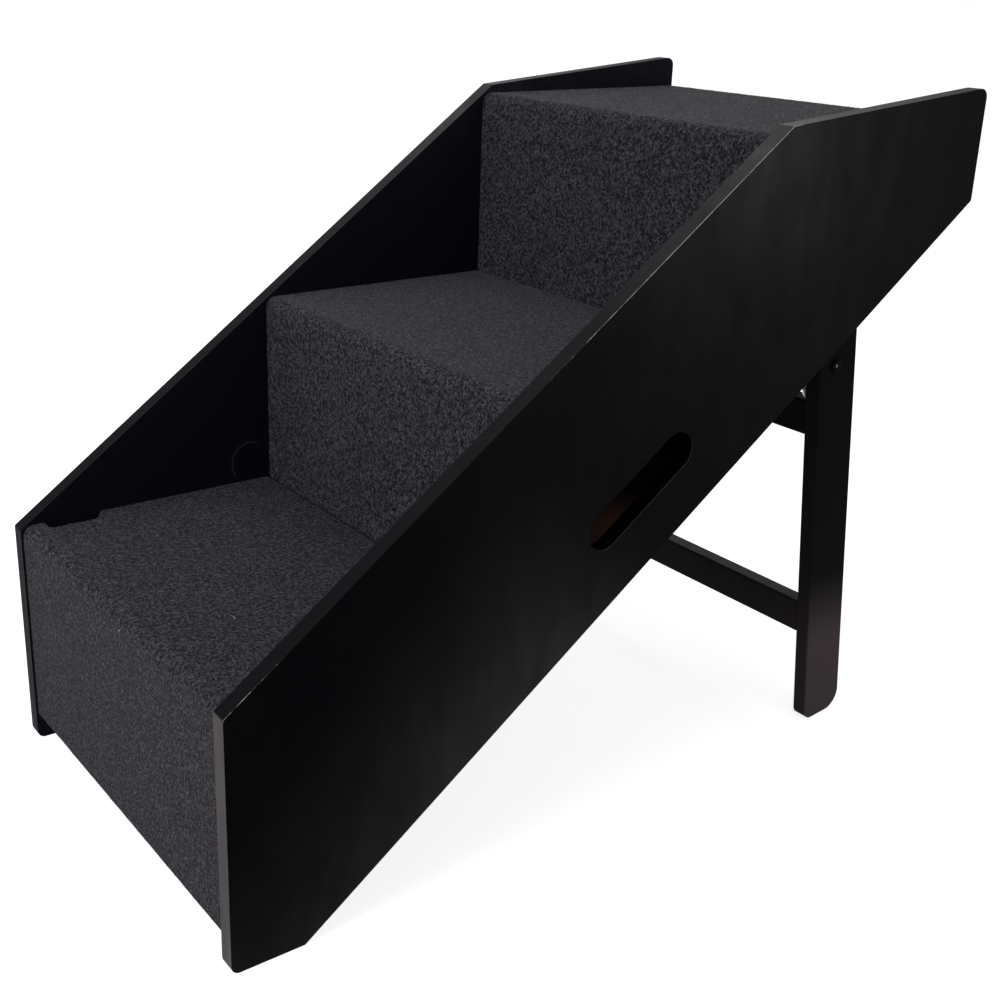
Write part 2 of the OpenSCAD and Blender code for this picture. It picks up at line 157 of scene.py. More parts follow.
# picks the edge that runs across the stair at one side-view place
def acrossAt(x, z, reach=2e-5):
    def wanted(a, b):
        return runsAcross(a, b) and all(abs(p.x - x) < reach and abs(p.z - z) < reach for p in (a, b))

    return wanted


def runsAcross(a, b):
    return abs(a.y - b.y) > 1e-4


def applyModifier(piece, kind, settings):
    pick(piece)
    modifier = piece.modifiers.new(kind, kind)
    for key, value in settings.items():
        setattr(modifier, key, value)
    bpy.ops.object.modifier_apply(modifier=modifier.name)


def subtract(piece, cutter):
    applyModifier(piece, "BOOLEAN", {"operation": "DIFFERENCE", "solver": "EXACT", "object": cutter})
    bpy.data.objects.remove(cutter)


# rounds the edges that are sharper than an angle in degrees, and shades the rest smooth
def bevelSharp(piece, width, segments, sharper, material=-1):
    applyModifier(piece, "BEVEL", {
        "width": width, "segments": segments, "limit_method": "ANGLE",
        "angle_limit": math.radians(sharper), "material": material,
    })
    bpy.ops.object.shade_smooth_by_angle(angle=math.radians(35))


def setMaterial(piece, material):
    piece.data.materials.clear()
    piece.data.materials.append(material)


# rounds every sharp edge a little, and notes over the surface how far the finish is rubbed through
# (on the narrow rounds only) and how glossy it is; the gloss value also paints light and shade on the colour
def softenArrises(piece, width, segments, rubbed, glossAndPaintedLight, cuts=()):
    marks = [bpy.data.materials.new(n) for n in ("roundMark", "arrisMark", "flatMark")]
    for mark in marks:
        piece.data.materials.append(mark)
    bevelSharp(piece, width, segments, 40, 1)
    for face in piece.data.polygons:
        if face.material_index == 0 and face.area > stair["flatFace"]:
            face.material_index = 2
    # more corners along the arrises, for the wear to change at
    for point, normal in cuts:
        startEdit(piece, "EDGE")
        bpy.ops.mesh.select_all(action="SELECT")
        bpy.ops.mesh.bisect(plane_co=point, plane_no=normal)
        endEdit()
    mesh = piece.data
    wear = mesh.attributes.new("edgeWearAndHighlight", "FLOAT", "CORNER")
    glossAndLight = mesh.attributes.new("edgeGlossAndPaintedLight", "FLOAT", "CORNER")
    for face in mesh.polygons:
        isArris = face.material_index == 1
        face.use_smooth = face.material_index < 2
        for loop in face.loop_indices:
            place = mesh.vertices[mesh.loops[loop].vertex_index].co
            wear.data[loop].value = rubbed(place) if isArris else 0.0
            glossAndLight.data[loop].value = glossAndPaintedLight(place, face.normal)
        face.material_index = 0
    mesh.materials.clear()
    for mark in marks:
        bpy.data.materials.remove(mark)


def joinPieces(name, pieces):
    pick(pieces[0])
    for piece in pieces[1:]:
        piece.select_set(True)
    bpy.ops.object.join()
    pieces[0].name = pieces[0].data.name = name
    return pieces[0]


def placePiece(piece, body, slot, material, *standsFor):
    setMaterial(piece, material)
    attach(piece, body)
    if standsFor:
        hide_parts(*standsFor)


# shader node helpers

def newMaterial(name):
    material = bpy.data.materials.new(name)
    material.use_nodes = True
    tree = material.node_tree
    shader = next(n for n in tree.nodes if n.type == "BSDF_PRINCIPLED")
    return material, tree, shader


def feed(tree, value, socket):
    if isinstance(value, bpy.types.NodeSocket):
        tree.links.new(value, socket)
    else:
        socket.default_value = value


def feedAll(tree, node, inputs):
    for key, value in inputs.items():
        feed(tree, value, node.inputs[key])


def addNode(tree, kind, settings=None, **inputs):
    node = tree.nodes.new(kind)
    for key, value in (settings or {}).items():
        setattr(node, key, value)
    feedAll(tree, node, inputs)
    return node


def mathNode(tree, operation, a, b=0.0, c=0.0, clamp=False):
    node = tree.nodes.new("ShaderNodeMath")
    node.operation, node.use_clamp = operation, clamp
    for socket, value in zip(node.inputs, (a, b, c)):
        feed(tree, value, socket)
    return node.outputs[0]


def times(tree, first, *others):
    for other in others:
        first = mathNode(tree, "MULTIPLY", first, other)
    return first


def plus(tree, first, second):
    return mathNode(tree, "ADD", first, second)


def less(tree, first, second):
    return mathNode(tree, "SUBTRACT", first, second)


def scaled(tree, value, factor, offset):
    return mathNode(tree, "MULTIPLY_ADD", value, factor, offset)


def absolute(tree, value):
    return mathNode(tree, "ABSOLUTE", value)


def splitPlace(tree, place):
    return addNode(tree, "ShaderNodeSeparateXYZ", Vector=place).outputs


# how far a place is from a point in the side view, with the distance along x squeezed
def awayFrom(tree, parts, x, z, squeeze=1.0):
    dx = less(tree, parts["X"], x)
    dz = less(tree, parts["Z"], z)
    wide = times(tree, dx, squeeze)
    away = plus(tree, times(tree, wide, wide), times(tree, dz, dz))
    return mathNode(tree, "SQRT", away), dx, dz


def mixColour(tree, amount, a, b):
    node = tree.nodes.new("ShaderNodeMix")
    node.data_type = "RGBA"
    feed(tree, amount, node.inputs[0])
    feed(tree, a, node.inputs[6])
    feed(tree, b, node.inputs[7])
    return node.outputs[2]


def ramp(tree, value, low, high, outLow=0.0, outHigh=1.0, smooth=True):
    node = tree.nodes.new("ShaderNodeMapRange")
    node.interpolation_type = "SMOOTHSTEP" if smooth else "LINEAR"
    for socket, item in zip(node.inputs, (value, low, high, outLow, outHigh)):
        feed(tree, item, socket)
    return node.outputs[0]


def readAttribute(tree, name):
    return addNode(tree, "ShaderNodeAttribute", {"attribute_name": name}).outputs["Fac"]


def noiseNode(tree, place, scale, detail=3.0, roughness=0.5):
    node = addNode(tree, "ShaderNodeTexNoise", Vector=place, Scale=scale, Detail=detail, Roughness=roughness)
    return node.outputs["Fac"]


def stretched(tree, place, scale, turn=(0, 0, 0)):
    return addNode(tree, "ShaderNodeMapping", Vector=place, Scale=scale, Rotation=turn).outputs[0]


def objectPlace(tree):
    return tree.nodes.new("ShaderNodeTexCoord").outputs["Object"]


def bump(tree, height, strength, distance):
    node = addNode(tree, "ShaderNodeBump", Height=height, Strength=strength, Distance=distance)
    return node.outputs["Normal"]


def colour(r, g, b):
    return (r, g, b, 1.0)


def newGroup(name, inputs, outputs):
    group = bpy.data.node_groups.new(name, "ShaderNodeTree")
    for label, kind, default in inputs:
        socket = group.interface.new_socket(label, in_out="INPUT", socket_type=kind)
        if default is not None:
            socket.default_value = default
    for label, kind in outputs:
        group.interface.new_socket(label, in_out="OUTPUT", socket_type=kind)
    return group, group.nodes.new("NodeGroupInput").outputs, group.nodes.new("NodeGroupOutput").inputs


def useGroup(tree, group, **inputs):
    return addNode(tree, "ShaderNodeGroup", {"node_tree": group}, **inputs).outputs


# shared effects

number, vector = "NodeSocketFloat", "NodeSocketVector"

# rubbed arrises: the more wear an arris has, the more of its noise shows bare board
rub = {"broad": 0.7, "fine": 0.3, "finer": 6.0, "reach": 1.3, "softness": 0.22}
edgeRub, given, put = newGroup(
    "edgeRub", [("Place", vector, None), ("Wear", number, 0.3), ("Scale", number, 120.0)], [("Mask", number)])
rubNoise = noiseNode(edgeRub, given["Place"], given["Scale"], 4.0, 0.65)
rubFine = noiseNode(edgeRub, given["Place"], times(edgeRub, given["Scale"], rub["finer"]), 2.0)
rubNoises = plus(edgeRub, times(edgeRub, rubNoise, rub["broad"]), times(edgeRub, rubFine, rub["fine"]))
rubNoises = less(edgeRub, rubNoises, 1.0)
rubLevel = scaled(edgeRub, given["Wear"], rub["reach"], rubNoises)
feed(edgeRub, ramp(edgeRub, rubLevel, 0.0, rub["softness"]), put["Mask"])

# soft clouds plus fine grain, used for uneven gloss, dust and tone
mottle, given, put = newGroup(
    "mottle", [("Place", vector, None), ("Broad", number, 12.0), ("Fine", number, 400.0)],
    [("Cloud", number), ("Grain", number)])
feed(mottle, noiseNode(mottle, given["Place"], given["Broad"], 4.0, 0.6), put["Cloud"])
feed(mottle, noiseNode(mottle, given["Place"], given["Fine"], 3.0, 0.6), put["Grain"])

# long wood grain that runs along the stretched place it is given
timber, given, put = newGroup(
    "timber", [("Place", vector, None), ("Rings", number, 90.0)], [("Grain", number), ("Pores", number)])
warp = noiseNode(timber, given["Place"], 8.0, 2.0)
wave = addNode(timber, "ShaderNodeTexWave", {"wave_type": "BANDS", "bands_direction": "DIAGONAL"},
               Vector=given["Place"], Scale=given["Rings"], Distortion=6.0, Detail=2.0)
bands = scaled(timber, wave.outputs["Fac"], 0.6, times(timber, warp, 0.4))
feed(timber, bands, put["Grain"])
feed(timber, noiseNode(timber, given["Place"], 600.0, 3.0, 0.7), put["Pores"])


# a new material, its place in the object, and the mottle over it
def mottledMaterial(name, broad, fine):
    material, tree, shader = newMaterial(name)
    place = objectPlace(tree)
    return material, tree, shader, place, useGroup(tree, mottle, Place=place, Broad=broad, Fine=fine)


print("shared effects ready")


# finishes

paintLook = {
    "dark": colour(0.0013, 0.0012, 0.0020),
    "pale": colour(0.0022, 0.0020, 0.0026),
    # painted light: the panels' inner faces get a lighter, bluer black than the outer faces
    "inside": colour(0.0063, 0.0057, 0.0102),
    "thin": colour(0.028, 0.0235, 0.0235),
    "bare": colour(0.50, 0.41, 0.36),
    "dust": colour(0.036, 0.033, 0.032),
    # edge: the colour of narrow faces, partly the duller paint of board edges and partly painted light
    "edge": colour(0.052, 0.041, 0.046),
    # painted reflection of the bright floor on the legs' feet
    "foot": colour(0.068, 0.0535, 0.0570),
    "cloudScale": 9.0,
    "grainScale": 900.0,
    "wipeScale": (45.0, 45.0, 13.0),
    "rubScale": 70.0,
    # from these distances off the middle plane a face is off the inner face, and on the outer one
    "offInner": (0.1856, 0.1864),
    "onOuter": (0.190, 0.198),
    "edgeCoat": 0.45,
    "unevenness": (1.2, -0.2),
    "specular": 0.012,
    "coatRoughness": 0.35,
}


# black paint: matt on the whole, with a sheen that comes and goes over the board
def makePaint(name, sheens=(), scuffs=None):
    look = paintLook
    material, tree, shader, place, clouds = mottledMaterial(name, look["cloudScale"], look["grainScale"])
    parts = splitPlace(tree, place)
    wipes = noiseNode(tree, stretched(tree, place, look["wipeScale"]), 1.0, 3.0, 0.6)
    wear = readAttribute(tree, "edgeWearAndHighlight")
    glossAndLight = readAttribute(tree, "edgeGlossAndPaintedLight")
    rubbed = useGroup(tree, edgeRub, Place=place, Wear=wear, Scale=look["rubScale"])["Mask"]
    tone = mixColour(tree, ramp(tree, clouds["Cloud"], 0.3, 0.7), look["dark"], look["pale"])
    if scuffs:
        # painted light on the panels' inner faces: a lighter, bluer black than the outer paint
        offInner = ramp(tree, absolute(tree, parts["Y"]), *look["offInner"])
        tone = mixColour(tree, offInner, look["inside"], tone)
    else:
        # painted reflection of the bright floor, lighter toward the foot
        reflected = times(tree, footWear(tree, parts), ramp(tree, clouds["Cloud"], 0.25, 0.5, 0.75, 1.05))
        tone = mixColour(tree, reflected, tone, look["foot"])
    # painted light: the narrow faces move toward the lighter edge colour by their gloss value, partly for the
    # duller paint of board edges
    tone = mixColour(tree, ramp(tree, glossAndLight, 0.0, 1.0, smooth=False), tone, look["edge"])
    # rubbed arrises go pale; along the near panel's top arris this pale is partly a painted highlight
    tone = mixColour(tree, ramp(tree, wear, 0.1, 0.6, 0.0, 0.8), tone, look["thin"])
    # fine pale scratches, long and thin, in two directions
    streakA = noiseNode(tree, stretched(tree, place, (400.0, 400.0, 9.0), (0.0, 0.9, 0.0)), 1.0, 2.0)
    streakB = noiseNode(tree, stretched(tree, place, (14.0, 14.0, 520.0), (0.0, -0.35, 0.0)), 1.0, 2.0)
    scratch = mathNode(tree, "MAXIMUM", ramp(tree, streakA, 0.76, 0.84), ramp(tree, streakB, 0.77, 0.84))
    scratch = times(tree, scratch, ramp(tree, clouds["Cloud"], 0.48, 0.62, 0.0, 0.3))
    if scuffs:
        scratch = mathNode(tree, "MAXIMUM", scratch, rubArc(tree, place, parts, scuffs), clamp=True)
    tone = mixColour(tree, scratch, tone, look["dust"])
    tone = mixColour(tree, rubbed, tone, look["bare"])
    # the sheen is strongest where hands and cloths have polished the board
    coat = times(tree, glossAndLight, look["edgeCoat"])
    for sheen in sheens:
        coat = plus(tree, coat, sheen(tree, parts))
    uneven = plus(tree, wipes, clouds["Cloud"])
    uneven = scaled(tree, uneven, *look["unevenness"])
    whole = less(tree, 1.0, rubbed)
    height = less(tree, clouds["Grain"], times(tree, rubbed, 0.6))
    feedAll(tree, shader, {
        "Base Color": tone,
        "Roughness": scaled(tree, clouds["Cloud"], 0.16, 0.40),
        "Specular IOR Level": look["specular"],
        "Coat Weight": mathNode(tree, "MULTIPLY", times(tree, coat, uneven), whole, clamp=True),
        "Coat Roughness": look["coatRoughness"],
        "Normal": bump(tree, height, 0.12, 0.0002),
    })
    return material


panelSheen = {
    # past the slope's foot: x less z, where the low sheen starts and is full
    "low": (-0.50, -0.25),
    "lowPower": 1.6,
    # x plus z, where it fades out past the hand slot
    "lowFade": (0.28, 0.08),
    "lowWeight": 0.21,
    "shoulder": (0.08, 0.565),
    "shoulderSqueeze": 0.8,
    "shoulderFall": -10.5,
    "shoulderWeight": 0.37,
}


# sheen along the low part of the panels' outer faces, fading up from the sloping edge
def lowSheen(tree, parts):
    across = less(tree, parts["X"], parts["Z"])
    along = plus(tree, parts["X"], parts["Z"])
    band = ramp(tree, across, *panelSheen["low"], smooth=False)
    band = mathNode(tree, "POWER", band, panelSheen["lowPower"])
    outside = ramp(tree, absolute(tree, parts["Y"]), *paintLook["onOuter"])
    return times(tree, band, ramp(tree, along, *panelSheen["lowFade"]), panelSheen["lowWeight"], outside)


# sheen round the shoulder of the panels, where the stair is held to be carried
def shoulderSheen(tree, parts):
    away, _, _ = awayFrom(tree, parts, *panelSheen["shoulder"], panelSheen["shoulderSqueeze"])
    fade = mathNode(tree, "POWER", 2.718, times(tree, away, panelSheen["shoulderFall"]))
    return times(tree, fade, panelSheen["shoulderWeight"])


legReflection = {"height": (0.160, 0.070), "outerFace": (0.1805, 0.1828), "elsewhere": 0.24}


# painted reflection of the bright floor: the foot of a leg is lighter grey, most on its outer face
def footWear(tree, parts):
    low = ramp(tree, parts["Z"], *legReflection["height"])
    sides = ramp(tree, absolute(tree, parts["Y"]), *legReflection["outerFace"], legReflection["elsewhere"], 1.0)
    return times(tree, low, sides)


rubbedArc = {
    "x": 0.2250 - stair["halfLength"],
    "z": 0.2285,
    "radius": 0.0195,
    "line": (0.0011, 0.0005),
    "outerLine": (0.0007, 0.0002),
    "outerRadius": 1.16,
    "outerWeight": 0.25,
    "wobble": 0.002,
    # the part of the circle that is there, from its middle
    "rear": (0.012, 0.004),
    "bottom": (-0.014, -0.008),
    # only on the left panel's inner face
    "face": (0.180, 0.184, 0.192, 0.188),
}


# the arc that a hinged corner has rubbed into the paint
def rubArc(tree, place, parts, arc):
    away, dx, dz = awayFrom(tree, parts, arc["x"], arc["z"])
    wobble = noiseNode(tree, place, 45.0, 2.0)
    wobble = scaled(tree, wobble, arc["wobble"], arc["wobble"] / -2)
    away = plus(tree, away, wobble)
    outside = arc["radius"] * arc["outerRadius"]
    ring = ramp(tree, absolute(tree, less(tree, away, arc["radius"])), *arc["line"])
    outer = ramp(tree, absolute(tree, less(tree, away, outside)), *arc["outerLine"])
    ring = mathNode(tree, "MAXIMUM", ring, times(tree, outer, arc["outerWeight"]))
    part = times(tree, ramp(tree, dx, *arc["rear"]), ramp(tree, dz, *arc["bottom"]))
    inside = times(tree, ramp(tree, parts["Y"], *arc["face"][:2]), ramp(tree, parts["Y"], *arc["face"][2:]))
    broken = ramp(tree, noiseNode(tree, place, 160.0, 3.0), 0.34, 0.5, 0.4, 1.0)
    return times(tree, ring, part, inside, broken)


# fibreboard, with paint on the faces that look away from the paint's own axis
def makeBoard(name, dark, pale, paint=None):
    material, tree, shader, place, clouds = mottledMaterial(name, 30.0, 1400.0)
    fleck = noiseNode(tree, stretched(tree, place, (500.0, 900.0, 500.0)), 1.0, 2.0, 0.7)
    mixed = scaled(tree, clouds["Grain"], 0.6, times(tree, clouds["Cloud"], 0.4))
    tone = mixColour(tree, mixed, dark, pale)
    tone = mixColour(tree, ramp(tree, fleck, 0.62, 0.75, 0.0, 0.35), tone, dark)
    rough = 0.62
    if paint:
        facing = addNode(tree, "ShaderNodeVectorMath", {"operation": "DOT_PRODUCT"})
        feed(tree, tree.nodes.new("ShaderNodeTexCoord").outputs["Normal"], facing.inputs[0])
        feed(tree, tuple(paint["axis"]), facing.inputs[1])
        painted = ramp(tree, facing.outputs["Value"], *paint["fades"])
        # painted shade inside the stair: past this far up the slope, near the hand slot, the board's raw face
        # is painted black
        if "paintedShade" in paint:
            parts = splitPlace(tree, place)
            along = scaled(tree, parts["X"], slopeRight.x, -slopeFoot.dot(slopeRight))
            along = plus(tree, along, times(tree, parts["Z"], slopeRight.z))
            paintedShade = ramp(tree, along, *paint["paintedShade"])
            paintedShade = times(tree, paintedShade, ramp(tree, parts["Y"], *paint["paintedShadeSide"]))
            painted = mathNode(tree, "MAXIMUM", painted, paintedShade)
        tone = mixColour(tree, painted, tone, paint["colour"])
        rough = scaled(tree, painted, -0.2, 0.62)
    feedAll(tree, shader, {
        "Base Color": tone,
        "Roughness": rough,
        "Specular IOR Level": 0.3,
        "Normal": bump(tree, clouds["Grain"], 0.25, 0.0003),
    })
    return material


def makeTimber(name, scale, turn=(0, 0, 0)):
    look = {
        "late": colour(0.36, 0.21, 0.09),
        "early": colour(0.62, 0.45, 0.25),
        "pore": colour(0.28, 0.17, 0.08),
    }
    material, tree, shader = newMaterial(name)
    place = stretched(tree, objectPlace(tree), scale, turn)
    wood = useGroup(tree, timber, Place=place, Rings=22.0)
    tone = mixColour(tree, wood["Grain"], look["late"], look["early"])
    tone = mixColour(tree, ramp(tree, wood["Pores"], 0.6, 0.75, 0.0, 0.5), tone, look["pore"])
    feedAll(tree, shader, {
        "Base Color": tone,
        "Roughness": scaled(tree, wood["Pores"], 0.2, 0.5),
        "Normal": bump(tree, wood["Grain"], 0.3, 0.0003),
    })
    return material


def makeMetal(name, base, rough, brush=(0, 0, 0)):
    material, tree, shader, place, clouds = mottledMaterial(name, 60.0, 2500.0)
    lines = noiseNode(tree, stretched(tree, place, brush), 1.0, 3.0, 0.6) if any(brush) else clouds["Grain"]
    dull = colour(base[0] * 0.6, base[1] * 0.58, base[2] * 0.55)
    tone = mixColour(tree, ramp(tree, clouds["Cloud"], 0.35, 0.7), base, dull)
    feedAll(tree, shader, {
        "Base Color": tone,
        "Metallic": 1.0,
        "Roughness": scaled(tree, lines, 0.25, rough - 0.1),
        "Normal": bump(tree, lines, 0.15, 0.0001),
    })
    return material


def makeNylon():
    material, tree, shader, _, clouds = mottledMaterial("naturalNylon", 80.0, 1200.0)
    feedAll(tree, shader, {
        "Base Color": mixColour(tree, clouds["Cloud"], colour(0.72, 0.70, 0.62), colour(0.82, 0.81, 0.76)),
        "Roughness": scaled(tree, clouds["Grain"], 0.15, 0.38),
        "Normal": bump(tree, clouds["Grain"], 0.1, 0.0002),
    })
    return material


feltLook = {
    "shade": colour(0.0045, 0.0042, 0.0065),
    "body": colour(0.062, 0.058, 0.072),
    "fleck": colour(0.11, 0.105, 0.12),
    "warm": colour(0.023, 0.0185, 0.0225),
    "cool": colour(0.0165, 0.017, 0.024),
    "curlScale": 330.0,
    "knotScale": 900.0,
    "speckScale": 360.0,
    "cellScale": 560.0,
    "specular": 0.10,
    "sheen": 0.15,
    "sheenRoughness": 0.15,
    "sheenTint": colour(1.0, 0.92, 0.94),
}


def makeFelt():
    look = feltLook
    material, tree, shader, place, clouds = mottledMaterial("charcoalFelt", 14.0, 620.0)
    curled = addNode(tree, "ShaderNodeTexNoise", Vector=place, Scale=look["curlScale"],
                     Detail=5.0, Roughness=0.75, Distortion=1.4)
    curls = curled.outputs["Fac"]
    knots = addNode(tree, "ShaderNodeTexVoronoi", Vector=place, Scale=look["knotScale"]).outputs["Distance"]
    lumps = times(tree, less(tree, 1.0, knots), 0.3)
    height = scaled(tree, curls, 0.7, lumps)
    speck = noiseNode(tree, place, look["speckScale"], 4.0, 0.75)
    cells = addNode(tree, "ShaderNodeTexVoronoi", Vector=place, Scale=look["cellScale"]).outputs["Color"]
    cell = splitPlace(tree, cells)["X"]
    tone = mixColour(tree, ramp(tree, clouds["Cloud"], 0.35, 0.65), look["warm"], look["cool"])
    tone = mixColour(tree, ramp(tree, height, 0.42, 0.66, 0.75, 0.0), tone, look["shade"])
    tone = mixColour(tree, ramp(tree, speck, 0.47, 0.60), tone, look["body"])
    tone = mixColour(tree, ramp(tree, speck, 0.48, 0.40, 0.0, 0.9), tone, look["shade"])
    tone = mixColour(tree, ramp(tree, cell, 0.45, 0.05, 0.0, 0.6), tone, look["shade"])
    tone = mixColour(tree, ramp(tree, cell, 0.70, 0.98, 0.0, 0.42), tone, look["fleck"])
    feedAll(tree, shader, {
        "Base Color": tone,
        "Roughness": ramp(tree, curls, 0.3, 0.7, 0.97, 0.85),
        "Specular IOR Level": look["specular"],
        "Sheen Weight": look["sheen"],
        "Sheen Roughness": look["sheenRoughness"],
        "Sheen Tint": look["sheenTint"],
        "Normal": bump(tree, height, 0.8, 0.0010),
    })
    return material


def makeFibre():
    material, tree, shader = newMaterial("feltFibre")
    tint = readAttribute(tree, "fibreTone")
    pale = ramp(tree, tint, 0.80, 0.99)
    tone = mixColour(tree, tint, colour(0.008, 0.0072, 0.0100), colour(0.082, 0.074, 0.080))
    tone = mixColour(tree, pale, tone, colour(0.24, 0.225, 0.230))
    feedAll(tree, shader, {
        "Base Color": tone,
        "Roughness": ramp(tree, tint, 0.0, 1.0, 0.85, 0.65),
        "Specular IOR Level": 0.15,
    })
    return material


blackPaint = makePaint("blackPanelPaint", [lowSheen, shoulderSheen], rubbedArc)
legPaint = makePaint("blackLegPaint")
fibreTones = colour(0.25, 0.15, 0.085), colour(0.42, 0.28, 0.17)
rawBoard = makeBoard("rawFibreboard", *fibreTones)
lidBoard = makeBoard("lidFibreboard", *fibreTones, {
    "axis": (0, 0, -1),
    "fades": (0.6, 0.3),
    "colour": colour(0.0040, 0.0036, 0.0045),
})
hardBoard = makeBoard("hardboard", colour(0.055, 0.026, 0.017), colour(0.115, 0.058, 0.040), {
    "axis": slopeUp,
    "fades": (0.1, -0.1),
    "colour": colour(0.0022, 0.0020, 0.0026),
    # painted shade: past this far up the slope, on the near side, the raw face turns black
    "paintedShade": (0.386, 0.430),
    "paintedShadeSide": (-0.10, -0.14),
})
timberLong = makeTimber("cleatTimberLong", (0.6, 6.0, 6.0))
timberUpright = makeTimber("cleatTimberUpright", (6.0, 6.0, 0.6))
timberSlope = makeTimber("cleatTimberSlope", (0.6, 6.0, 6.0), (0, stair["slope"], 0))
timberAcross = makeTimber("dowelTimber", (6.0, 0.6, 6.0))
yellowZinc = makeMetal("yellowZinc", colour(0.62, 0.50, 0.27), 0.36)
brightZinc = makeMetal("brightZinc", colour(0.60, 0.61, 0.63), 0.30)
dullZinc = makeMetal("dullZinc", colour(0.11, 0.11, 0.11), 0.5)
staySteel = makeMetal("rolledSteel", colour(0.72, 0.72, 0.73), 0.34, (30.0, 30.0, 900.0))
insertBrass = makeMetal("turnedBrass", colour(0.66, 0.47, 0.20), 0.30)
nylon = makeNylon()
lintWhite = makeBoard("lint", colour(0.42, 0.42, 0.42), colour(0.62, 0.62, 0.60))
felt = makeFelt()
fibre = makeFibre()

# the CAD pieces that stay in view or lie hidden in the stair
nodeFinish = {
    rawBoard: ["riser_1_board", "riser_2_board", "riser_3_board", "tread_2_board", "tread_3_board"],
    lidBoard: ["lid_board"],
    hardBoard: ["bottom_board"],
    timberLong: ["lid_rests", "tread_2_cleats", "tread_3_cleats"],
    timberUpright: ["riser_1_cleats", "riser_2_cleats", "riser_3_cleats"],
    timberSlope: ["bottom_battens"],
    timberAcross: ["frame_dowels"],
    yellowZinc: ["cleat_screws", "bottom_screws"],
    brightZinc: ["lid_pins"],
    insertBrass: ["pivot_inserts"],
    nylon: ["lid_pin_bushes"],
}
for material, names in nodeFinish.items():
    for name in names:
        setMaterial(cadNodes[name], material)
print("finishes ready")


# side panels

panelSize = {
    "thickness": 0.015,
    "shoulderBack": 0.243,
    "slotLength": 0.121,
    "slotWidth": 0.032,
    "slotLift": 0.0595,
    "arris": 0.0013,
    "bushDiameter": 0.0091,
    "bushDepth": 0.0083,
    # radius of each corner, in the order of the outline
    "cornerRadii": [0.007, 0.0025, 0.0025, 0.008, 0.0025, 0.0025],
    # places further out than this are on the outer face, and nearer the slot's middle than this in the slot
    "outerFrom": 0.196,
    "slotReach": 0.07,
    # how far under the top edge's line, and not under what height, a place is on the top edge
    "topBand": 0.004,
    "topFrom": 0.19,
    "wearTop": 0.26,
    "wearElsewhere": 0.16,
    # these gloss values also paint light on the colour: a painted highlight on the slot's lower rim, the near
    # (-1) front lit and the far (1) shaded, the slopes lighter toward the top
    "shineSlotRim": 0.6,
    "shineFront": {-1: 0.55, 1: 0.05},
    "shineSlope": (0.05, 0.08),
    "shineRearTop": 0.13,
    "shineElsewhere": 0.10,
}
# how far the paint is rubbed through along the outer top arris, from the front corner up to the shoulder;
# the pale rubbed colour there is partly a painted highlight along that lit arris
arrisWearAndHighlight = [
    (0.0, 0.46), (0.03, 0.46), (0.06, 0.42), (0.10, 0.35), (0.16, 0.30), (0.22, 0.16), (0.46, 0.16),
    (0.55, 0.40), (0.65, 0.47), (0.75, 0.53), (0.85, 0.55), (0.92, 0.51), (0.96, 0.52),
    (0.985, 0.56), (1.0, 0.66),
]


def readTable(table, at):
    for (x0, y0), (x1, y1) in zip(table, table[1:]):
        if at <= x1:
            return y0 + (y1 - y0) * max(0.0, at - x0) / (x1 - x0)
    return table[-1][1]


